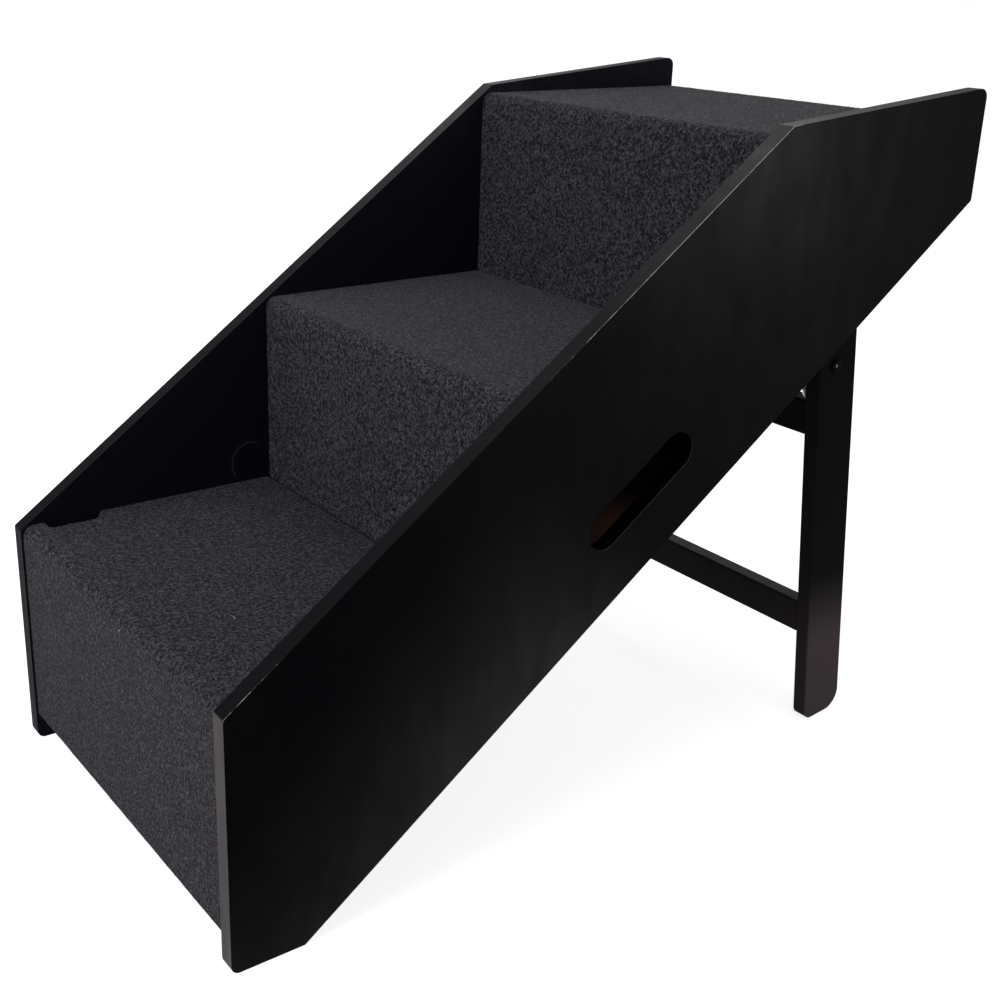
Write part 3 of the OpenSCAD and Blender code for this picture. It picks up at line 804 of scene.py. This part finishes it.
def makePanel(name, side, node):
    low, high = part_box(node)
    front, rear = low.x, high.x
    rearLow = (rear - slopeFoot.x) * math.tan(stair["slope"])
    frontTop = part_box("lid_carpet")[1].z - stair["treadProud"]
    # the top edge runs up to this shoulder, parallel to the underside
    shoulder = Vector((rear - panelSize["shoulderBack"], 0, 0))
    shoulder.z = frontTop + (shoulder.x - front) * math.tan(stair["slope"])
    rearTop = Vector((rear, 0, high.z))
    panel = addBox(name, low, high)
    cutAway(panel, slopeFoot, -slopeUp)
    cutAway(panel, shoulder, slopeUp)
    alongTop = (rearTop - shoulder).normalized()
    cutAway(panel, shoulder, Vector((-alongTop.z, 0, alongTop.x)))
    outline = [
        Vector((front, 0, 0)), slopeFoot, Vector((rear, 0, rearLow)),
        rearTop, shoulder, Vector((front, 0, frontTop)),
    ]
    for i, corner in enumerate(outline):
        turn = (corner - outline[i - 1]).angle(outline[(i + 1) % 6] - corner)
        offset = panelSize["cornerRadii"][i] * math.tan(turn / 2)
        roundEdges(panel, acrossAt(corner.x, corner.z), offset, 8 if turn > 1 else 4)
    # handle slot: a bar with round ends, turned to the slope and cut out
    centre = slopeFoot + slopeRight * (slopeLength / 2) + slopeUp * panelSize["slotLift"]
    reach = panelSize["slotWidth"] / 2
    half = Vector((panelSize["slotLength"] / 2, 0.03, reach))
    slot = addBox("slotCutter", -half, half)
    roundEdges(slot, runsAcross, reach * 0.9995, 14)
    slot.rotation_euler = (0, -stair["slope"], 0)
    slot.location = (centre.x, side * (stair["innerFace"] + panelSize["thickness"] / 2), centre.z)
    applyPlace(slot)
    subtract(panel, slot)
    inner = side * stair["innerFace"]
    lidAxis = middleOf("lid_pin_bushes")
    subtract(panel, addRound("bushCutter", lidAxis.x, lidAxis.z, inner - side * 0.01,
                             inner + side * panelSize["bushDepth"], panelSize["bushDiameter"]))

    def upTo(place):
        return (place.x - front) / (shoulder.x - front)

    def rubbed(place):
        outer = abs(place.y) > panelSize["outerFrom"]
        overSlope = (place.z - shoulder.z) - (place.x - shoulder.x) * math.tan(stair["slope"])
        onTop = overSlope > -panelSize["topBand"] and place.z > panelSize["topFrom"]
        # the near panel's outer top arris: rubbed paint that is partly a painted highlight
        if side < 0 and outer and onTop and place.x < shoulder.x + 0.008:
            return readTable(arrisWearAndHighlight, upTo(place))
        if place.x < front + 0.003 and not onTop:
            return 0.0
        return panelSize["wearTop"] if onTop else panelSize["wearElsewhere"]

    # the slot's lower rim and the narrow faces are glossier than the rest, and carry painted light: a painted
    # highlight on the slot's lower rim, the near panel's front lit and the far one's shaded, the slopes
    # lighter toward the top
    def glossAndPaintedLight(place, normal):
        if (place.xz - centre.xz).length < panelSize["slotReach"]:
            onRim = normal.dot(slopeUp) > 0.2 and 0.15 < -normal.y < 0.97
            return panelSize["shineSlotRim"] if onRim else 0.0
        if abs(normal.y) > 0.5:
            return 0.0
        if normal.x < -0.9:
            return panelSize["shineFront"][side]
        if normal.z > 0.5 and place.x > shoulder.x + 0.002:
            return panelSize["shineRearTop"]
        if normal.z > 0.5:
            return panelSize["shineSlope"][0] + panelSize["shineSlope"][1] * max(0.0, upTo(place))
        return panelSize["shineElsewhere"]

    # stations for the wear and its painted highlight: the table's places, two past the shoulder and one under
    # the front corner
    cuts = [(Vector((front + t * (shoulder.x - front), 0, 0)), Vector((1, 0, 0))) for t, _ in arrisWearAndHighlight[1:]]
    cuts += [(shoulder + Vector((beyond, 0, 0)), Vector((1, 0, 0))) for beyond in (0.006, 0.014)]
    cuts.append((Vector((0, 0, frontTop - 0.006)), Vector((0, 0, 1))))
    softenArrises(panel, panelSize["arris"], 3, rubbed, glossAndPaintedLight, cuts)
    placePiece(panel, "stair_body", "painted_panel", blackPaint, node)


makePanel("panelRight", -1, "side_panel_right")
makePanel("panelLeft", 1, "side_panel_left")
print("side panels done")


# carpets

feltSize = {
    "thickness": 0.003,
    "noseRadius": 0.010,
    "seamClosed": 0.00055,
    "cell": 0.0035,
    "fibresPerSquareMetre": 210000,
    "fibreLength": (0.0018, 0.0048),
    "fibreWidth": 0.00019,
    "standing": 0.12,
    "notch": {
        "back": 0.019,
        "length": 0.043,
        "depth": 0.017,
        "flare": 0.010,
        "radius": 0.006,
        "flareRadius": 0.0034,
        "overrun": 0.010,
        "margin": 0.0008,
    },
}


def makeFeltSheet(name, node, hasTread, unevenness):
    low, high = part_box(node)
    if not hasTread:
        high.z += feltSize["seamClosed"]
    sheet = addBox(name, low, high)
    if hasTread:
        roundEdges(sheet, acrossAt(low.x, high.z), feltSize["noseRadius"], 8)
    selectFaces(sheet, lambda c, n: abs(n.y) > 0.5 or n.z < -0.5 or n.x > 0.5 or (n.z > 0.5 and not hasTread))
    bpy.ops.mesh.delete(type="FACE")
    endEdit()
    # an even net of small cells, so that the felt can be uneven
    width, cell = high.y - low.y, feltSize["cell"]
    drop = high.z - low.z - (feltSize["noseRadius"] if hasTread else 0)
    run = high.x - low.x - feltSize["noseRadius"]
    selectEdges(sheet, lambda a, b: abs(a.y - b.y) > width * 0.9)
    bpy.ops.mesh.subdivide(number_cuts=int(width / cell), smoothness=0)
    endEdit()
    selectEdges(sheet, lambda a, b: abs(a.z - b.z) > drop * 0.9)
    bpy.ops.mesh.subdivide(number_cuts=int(drop / cell), smoothness=0)
    endEdit()
    if hasTread:
        selectEdges(sheet, lambda a, b: abs(a.x - b.x) > run * 0.9)
        bpy.ops.mesh.subdivide(number_cuts=int(run / cell), smoothness=0)
        endEdit()
    for vertex in sheet.data.vertices:
        rise = noise.noise(vertex.co * 90) * 0.6 + noise.noise(vertex.co * 260) * 0.4
        vertex.co += vertex.normal * rise * unevenness
    return sheet, (width, drop + (run + feltSize["noseRadius"] * math.pi / 2 if hasTread else 0))


# short curled fibres that lie on the felt in every direction, each a thin bent ribbon
def makePile(name, sheet, seed, pileLift, spare=None):
    chance = random.Random(seed)
    points, ribbons, tones = [], [], []
    halfWidth = max(abs(v.co.y) for v in sheet.data.vertices) - 0.0003
    for face in sheet.data.polygons:
        wanted = face.area * feltSize["fibresPerSquareMetre"]
        count = int(wanted) + (chance.random() < wanted - int(wanted))
        corners = [sheet.data.vertices[i].co for i in face.vertices]
        normal = face.normal
        for _ in range(count):
            s, t = chance.random(), chance.random()
            root = corners[0].lerp(corners[1], s).lerp(corners[3].lerp(corners[2], s), t)
            if spare and spare(root):
                continue
            turn = Matrix.Rotation(chance.random() * math.tau, 3, normal)
            heading = turn @ normal.orthogonal().normalized()
            sideways = normal.cross(heading)
            length = chance.uniform(*feltSize["fibreLength"])
            bend = chance.uniform(-0.5, 0.5) * length
            lift = chance.uniform(0.3, 1.0) * pileLift
            stands = chance.random() < feltSize["standing"]
            start = len(points)
            for k, width in ((0.0, 1.0), (0.5, 1.0), (1.0, 0.4)):
                rise = lift * (1.6 * k if stands else math.sin(math.pi * min(k * 1.15, 1.0))) - 0.00005
                spot = root + heading * (k * length) + sideways * (bend * k * k) + normal * rise
                half = sideways * (feltSize["fibreWidth"] * width / 2)
                points += [spot - half, spot + half]
            ribbons += [(k, k + 2, k + 3, k + 1) for k in (start, start + 2)]
            tones += [chance.random()] * 6
    for p in points:
        p.y = max(-halfWidth, min(halfWidth, p.y))
    pile = linkMesh(name, points, ribbons)
    layer = pile.data.attributes.new("fibreTone", "FLOAT", "POINT")
    layer.data.foreach_set("value", tones)
    return pile


def finishCarpet(sheet, pile, cut, body, node, flat):
    applyModifier(sheet, "SOLIDIFY",
                  {"thickness": feltSize["thickness"], "offset": -1, "use_even_offset": True})
    if cut:
        subtract(sheet, cut)
    pick(sheet)
    bpy.ops.object.shade_smooth_by_angle(angle=math.radians(35))
    placePiece(sheet, body, "carpet", felt, node)
    placePiece(pile, body, "carpet", fibre)


# the finger notch in the far edge of the lid's felt: square at the front, flared at the rear
def makeNotch(front):
    notch = feltSize["notch"]
    start, edge = front + notch["back"], stair["innerFace"]
    inner, overrun = edge - notch["depth"], notch["overrun"]
    flare = notch["flare"] / notch["depth"]
    cutter = addBox("notchCutter", (start, inner, 0.19), (start + notch["length"], edge + overrun, 0.23))

    def upright(rear):
        def wanted(a, b):
            return abs(a.z - b.z) > 0.01 and a.y < edge and (a.x > start + 0.01) == rear

        return wanted

    roundEdges(cutter, upright(False), notch["radius"], 8)
    mesh = startEdit(cutter, "VERT")
    for vertex in mesh.verts:
        vertex.select_set(vertex.co.y > edge and vertex.co.x > start + 0.01)
    mesh.select_flush_mode()
    bmesh.update_edit_mesh(cutter.data)
    bpy.ops.transform.translate(value=((notch["depth"] + overrun) * flare, 0, 0))
    endEdit()
    roundEdges(cutter, upright(True), notch["flareRadius"], 8)

    def spare(p):
        reach = start + notch["length"] + max(0.0, p.y - inner) * flare
        margin = notch["margin"]
        return start - margin < p.x < reach + margin and p.y > inner - margin

    return cutter, spare


# the felts that meet when the lid stands open are the smoothest: its own and the middle step's
carpets = [
    # name, CAD node, has a tread, body, lies on, unevenness, pile height
    ("riserCarpet", "riser_1_carpet", False, "stair_body", ["riser_1_board"], 0.0003, 0.0007),
    ("lidCarpet", "lid_carpet", True, "lid", ["lid_board"], 0.00016, 0.00022),
    ("middleStepCarpet", "step_2_carpet", True, "stair_body",
     ["riser_2_board", "tread_2_board"], 0.00016, 0.00016),
    ("topStepCarpet", "step_3_carpet", True, "stair_body",
     ["riser_3_board", "tread_3_board"], 0.0003, 0.0010),
]
for order, (name, node, hasTread, body, restsOn, unevenness, pileLift) in enumerate(carpets):
    sheet, flat = makeFeltSheet(name, node, hasTread, unevenness)
    cutter, spare = None, None
    if node == "lid_carpet":
        cutter, spare = makeNotch(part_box(node)[0].x)
    pile = makePile(name + "Pile", sheet, 11 + order, pileLift, spare)
    finishCarpet(sheet, pile, cutter, body, node, flat)


# a white fleck on the nosing and one pale hair on the tread of the lid
lint = {
    "fleck": Vector((-0.3700, -0.027, 0.2002)),
    "fleckReach": 0.0007,
    "fleckFlakes": 7,
    "fleckLift": (0.0010, 0.0003),
    "hair": Vector((-0.2990, -0.0772, 0.0)),
    "hairLift": 0.0004,
    "hairLength": 0.009,
    "hairWidth": 0.00028,
    "hairCurl": 0.0012,
    "hairSteps": 8,
}


def makeLint():
    chance = random.Random(5)
    points, ribbons = [], []
    for _ in range(lint["fleckFlakes"]):
        turn = chance.random() * math.pi
        out = Vector((0, math.cos(turn), math.sin(turn))) * lint["fleckReach"]
        wide = Vector((0, -out.z, out.y)) * 0.35
        middle = lint["fleck"] - Vector((lint["fleckLift"][0] + chance.random() * lint["fleckLift"][1], 0, 0))
        start = len(points)
        points += [middle + a * out + b * wide for a, b in ((-1, -1), (1, -1), (1, 1), (-1, 1))]
        ribbons.append(tuple(range(start, start + 4)))
    for k in range(lint["hairSteps"] + 1):
        along = k / lint["hairSteps"]
        spot = lint["hair"] + Vector((math.sin(along * 3) * lint["hairCurl"], along * lint["hairLength"], 0))
        spot.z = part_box("lid_carpet")[1].z + lint["hairLift"]
        points += [spot, spot + Vector((lint["hairWidth"], 0, 0))]
        if k:
            end = len(points)
            ribbons.append((end - 4, end - 2, end - 1, end - 3))
    placePiece(linkMesh("lidLint", points, ribbons), "lid", "carpet", lintWhite)


makeLint()
print("carpets done")


# leg frame

legSize = {
    "width": 0.046,
    "lean": math.radians(6.3),
    "inner": 0.168,
    "outer": 0.183,
    "heelRadius": 0.018,
    "toeRadius": 0.008,
    "arris": 0.0012,
    "barThickness": 0.015,
    "barHeight": 0.033,
    "barArris": 0.002,
    "boltHead": 0.0166,
    "boltSink": 0.0036,
    "footReach": 0.03,
    "wearFoot": 0.26,
    "wear": 0.18,
    "barWear": 0.16,
    # gloss and painted floor reflection of a leg's front at the pivot, and how much more it is at the foot
    "shineFront": (0.06, 0.02),
    # gloss and painted light of a bar's other faces: a base, and a share of that of its top
    "shineBar": (0.03, 0.1),
}
pivotPlace = middleOf("pivot_bolts")
legUp = Vector((-math.sin(legSize["lean"]), 0, math.cos(legSize["lean"])))
toeAcross = (legSize["width"] / 2 - legSize["toeRadius"]) * math.sin(legSize["lean"])
toeDrop = pivotPlace.z - toeAcross - legSize["toeRadius"]
legLength = legSize["toeRadius"] + toeDrop / math.cos(legSize["lean"])


# pieces of the leg frame are drawn upright with the pivot at the origin, then leaned and moved into place
def standLeg(piece):
    piece.rotation_euler = (0, -legSize["lean"], 0)
    piece.location = pivotPlace
    applyPlace(piece)


def makeLeg(name, side, node):
    half = legSize["width"] / 2
    ends = sorted((side * legSize["inner"], side * legSize["outer"]))
    leg = addBox(name, (-half, ends[0], -legLength), (half, ends[1], half))
    roundEdges(leg, lambda a, b: runsAcross(a, b) and a.z > 0, half * 0.9995, 16)
    roundEdges(leg, acrossAt(half, -legLength), legSize["heelRadius"], 10)
    roundEdges(leg, acrossAt(-half, -legLength), legSize["toeRadius"], 6)
    sunkTo = legSize["inner"] + legSize["boltSink"]
    subtract(leg, addRound("boltSinkCutter", 0, 0, side * (legSize["inner"] - 0.01), side * sunkTo,
                           legSize["boltHead"]))

    def rubbed(place):
        return legSize["wearFoot"] if place.z < -legLength + legSize["footReach"] else legSize["wear"]

    def glossAndPaintedLight(place, normal):
        base, more = legSize["shineFront"]
        return base + more * min(1.0, -place.z / legLength) if normal.x < -0.5 else 0.0

    softenArrises(leg, legSize["arris"], 3, rubbed, glossAndPaintedLight)
    standLeg(leg)
    placePiece(leg, "leg_frame", "painted_leg", legPaint, node)


def makeBar(name, node, topGlossAndLight):
    def glossAndPaintedLight(place, normal):
        return topGlossAndLight if normal.z > 0.7 else legSize["shineBar"][0] + topGlossAndLight * legSize["shineBar"][1]

    down = (pivotPlace - middleOf(node)).dot(legUp)
    front = -legSize["width"] / 2
    low = Vector((front, -legSize["inner"], -down - legSize["barHeight"] / 2))
    high = Vector((front + legSize["barThickness"], legSize["inner"], -down + legSize["barHeight"] / 2))
    bar = addBox(name, low, high)
    softenArrises(bar, legSize["barArris"], 4, lambda place: legSize["barWear"], glossAndPaintedLight)
    standLeg(bar)
    placePiece(bar, "leg_frame", "painted_leg", legPaint, node)


makeLeg("legRight", -1, "leg_right")
makeLeg("legLeft", 1, "leg_left")
# painted light: the stretcher's top is lit and lighter, the crossbar's top shaded and darker
makeBar("legCrossbar", "leg_crossbar", 0.05)
makeBar("legStretcher", "leg_stretcher", 0.48)
print("leg frame done")


# stays and fastenings

metalSize = {
    "stayWidth": 0.017,
    "stayThickness": 0.002,
    "stayOut": 0.1677,
    "stayTail": 0.026,
    "stayHole": 0.0061,
    "staySlot": 0.0064,
    "slotSpare": 0.002,
    "legSwing": math.radians(90 - 35.9 + 6.3),
    "headDiameter": 0.012,
    "shankDiameter": 0.006,
    "boltSocket": 0.0046,
    "pivotSocket": 0.0058,
    "nutHeight": 0.004,
    "postDiameter": 0.012,
    "washerDiameter": 0.020,
    "pivotHead": 0.016,
    "pivotHeadHeight": 0.003,
    "pivotShank": 0.008,
    "pivotTip": 0.006,
    "insertDepth": 0.012,
    "gap": 0.0003,
    "tipDiameter": 0.0031,
    "postHeadHeight": 0.0025,
    "stayRim": 0.0004,
}
boltPlace = middleOf("stay_bolts")
postPlace = middleOf("stay_posts")
stayIn = metalSize["stayOut"] - metalSize["stayThickness"]


def makeStay(name, side, node):
    along = boltPlace - postPlace
    openLength, swing = along.length, metalSize["legSwing"]
    circle = (boltPlace - pivotPlace).length
    openAngle = 2 * math.asin(openLength / (2 * circle))
    travel = 2 * circle * math.sin((openAngle + swing) / 2) - openLength + metalSize["slotSpare"]
    half = metalSize["stayWidth"] / 2
    faces = sorted((side * stayIn, side * metalSize["stayOut"]))
    stay = addBox(name, (-half, faces[0], -half), (openLength + metalSize["stayTail"] + half, faces[1], half))
    roundEdges(stay, runsAcross, half * 0.9995, 12)
    slotHalf = metalSize["staySlot"] / 2
    slot = addBox("staySlotCutter", (openLength - slotHalf, 0.15 * side - 0.1, -slotHalf),
                  (openLength + travel + slotHalf, 0.15 * side + 0.1, slotHalf))
    roundEdges(slot, runsAcross, slotHalf * 0.9995, 8)
    subtract(stay, slot)
    subtract(stay, addRound("stayHoleCutter", 0, 0, side * 0.15, side * 0.18, metalSize["stayHole"], 32))
    bevelSharp(stay, metalSize["stayRim"], 2, 35)
    stay.rotation_euler = (0, -math.atan2(along.z, along.x), 0)
    stay.location = postPlace
    applyPlace(stay)
    placePiece(stay, "right_stay" if side < 0 else "left_stay", "stay_steel", staySteel, node)


makeStay("stayRight", -1, "stay_right")
makeStay("stayLeft", 1, "stay_left")


# a turned or six-sided solid that lies across the stair between two distances from the middle plane,
# and what is drilled out of it in the same terms
def addTurned(side, place, inner, outer, diameter, rim, vertices, drilled=None):
    piece = addRound("turned", place.x, place.z, side * inner, side * outer, diameter, vertices)
    if rim:
        bevelSharp(piece, rim, 2, 35)
    if drilled:
        start, end, width, corners = drilled
        subtract(piece, addRound("drill", place.x, place.z, side * start, side * end, width, corners))
    return piece


panelFace, shank, head = stair["innerFace"], metalSize["shankDiameter"], metalSize["headDiameter"]
stayFace = stayIn - metalSize["gap"]
nutEnd = stayFace - metalSize["nutHeight"]
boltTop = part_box("stay_bolts")[1].y
postTop = stayFace - metalSize["postHeadHeight"]
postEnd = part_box("stay_post_screws")[1].y
pivotTop = legSize["inner"] + metalSize["gap"]
pivotShoulder = pivotTop + metalSize["pivotHeadHeight"]
socket, pivotSocket = metalSize["boltSocket"], metalSize["pivotSocket"]
fastenings = [
    # name, body, slot, material, CAD nodes, place, then its solids:
    # inner, outer, diameter, rim, corners and what is drilled: from, to, diameter, corners
    ("stayBolts", "leg_frame", "bright_steel", legPaint, ["stay_bolts"], boltPlace, [
        (nutEnd, legSize["outer"], shank, 0.0004, 48),
        (legSize["outer"], boltTop, head, 0.0006, 48, (boltTop + 0.002, boltTop - 0.0009, socket, 6)),
    ]),
    # the bright tip in the middle of a bolt's low black head
    ("stayBoltTips", "leg_frame", "bright_steel", dullZinc, [], boltPlace, [
        (boltTop - 0.0008, boltTop - 0.0001, metalSize["tipDiameter"], 0.0003, 24),
    ]),
    ("stayNuts", "leg_frame", "bright_steel", brightZinc, ["stay_nuts"], boltPlace, [
        (nutEnd, stayFace, head, 0.0005, 6, (stayFace - 0.006, stayFace + 0.002, shank, 48)),
    ]),
    ("stayPosts", "stair_body", "bright_steel", brightZinc, ["stay_posts"], postPlace, [
        (metalSize["stayOut"] + metalSize["gap"], panelFace, metalSize["postDiameter"], 0.0006, 48,
         (0.15, 0.19, shank, 48)),
    ]),
    ("stayPostScrews", "stair_body", "bright_steel", brightZinc, ["stay_post_screws"], postPlace, [
        (postTop, stayFace, head, 0.0007, 48, (postTop - 0.002, postTop + 0.0014, socket, 6)),
        (stayFace, postEnd, shank, 0.0004, 48),
    ]),
    ("pivotBolts", "stair_body", "bright_steel", brightZinc, ["pivot_bolts"], pivotPlace, [
        (pivotTop, pivotShoulder, metalSize["pivotHead"], 0.0006, 48,
         (pivotTop - 0.002, pivotTop + 0.0018, pivotSocket, 6)),
        (pivotShoulder, panelFace, metalSize["pivotShank"], 0, 48),
        (panelFace, panelFace + metalSize["insertDepth"], metalSize["pivotTip"], 0, 48),
    ]),
    ("pivotWashers", "stair_body", "nylon", nylon, ["pivot_washers"], pivotPlace, [
        (legSize["outer"] + metalSize["gap"], panelFace, metalSize["washerDiameter"], 0.0004, 48,
         (0.17, 0.19, metalSize["pivotShank"] + 0.0001, 48)),
    ]),
]
for name, body, slot, material, nodes, place, solids in fastenings:
    made = [addTurned(side, place, *solid) for side in (-1, 1) for solid in solids]
    placePiece(joinPieces(name, made), body, slot, material, *nodes)
print("stays and fastenings done")


# floor, light and camera

stage = {
    "floorSize": 60.0,
    "floorShade": 0.80,
    "surroundings": 0.32,
    "lamps": [
        # name, place, size, watts
        ("keyLamp", (-1.62, -0.20, 0.80), 0.9, 14),
        ("topLamp", (0.2, 0.3, 2.9), 2.0, 24),
        ("sideLamp", (0.6, -2.6, 1.2), 1.5, 9),
    ],
    "aim": Vector((0.0, 0.0, 0.28)),
}


# what the camera, a mirror or clear matter looks at, against what only lights
def seenNotLit(tree):
    rays = tree.nodes.new("ShaderNodeLightPath").outputs
    mirrored = mathNode(tree, "MAXIMUM", rays["Is Glossy Ray"], rays["Is Transmission Ray"])
    return mathNode(tree, "MAXIMUM", rays["Is Camera Ray"], mirrored)


def makeStage():
    deselectAll()
    bpy.ops.mesh.primitive_plane_add(size=stage["floorSize"], location=(0, 0, -0.0002))
    floor = bpy.context.active_object
    floor.name = "floor"
    material, tree, shader = newMaterial("paleFloor")
    feedAll(tree, shader, {
        "Base Color": colour(0.62, 0.62, 0.62),
        "Roughness": 0.9,
        "Emission Color": colour(1, 1, 1),
        "Emission Strength": times(tree, seenNotLit(tree), stage["floorShade"]),
    })
    floor.data.materials.append(material)
    world = bpy.data.worlds.new("paleRoom")
    bpy.context.scene.world = world
    world.use_nodes = True
    tree = world.node_tree
    background = next(n for n in tree.nodes if n.type == "BACKGROUND")
    strength = ramp(tree, seenNotLit(tree), 0.0, 1.0, stage["surroundings"], 1.0, smooth=False)
    feedAll(tree, background, {"Color": colour(1, 1, 1), "Strength": strength})
    for name, place, size, watts in stage["lamps"]:
        deselectAll()
        bpy.ops.object.light_add(type="AREA", location=place)
        lamp = bpy.context.active_object
        lamp.name = name
        lamp.data.size, lamp.data.energy = size, watts
        lamp.rotation_euler = (stage["aim"] - Vector(place)).to_track_quat("-Z", "Y").to_euler()


makeStage()

view = {
    "place": Vector((-0.72832, -0.93677, 0.68333)),
    "right": Vector((0.81361203, -0.58088798, 0.0245889)),
    "up": Vector((0.18057037, 0.29266141, 0.93901206)),
    "forward": Vector((0.55265704, 0.75955148, -0.343004)),
    "lens": 50.137,
    "shift": (0.0511, -0.03185),
}
deselectAll()
bpy.ops.object.camera_add(location=view["place"])
camera = bpy.context.active_object
camera.name = "photoCamera"
axes = Matrix((view["right"], view["up"], -view["forward"])).transposed()
camera.rotation_euler = axes.to_euler()
camera.data.sensor_width, camera.data.lens = 36.0, view["lens"]
camera.data.shift_x, camera.data.shift_y = view["shift"]
camera.data.clip_start, camera.data.clip_end = 0.05, 100
bpy.context.scene.camera = camera
bpy.context.scene.view_settings.view_transform = "Standard"
print("stage ready")

deselectAll()
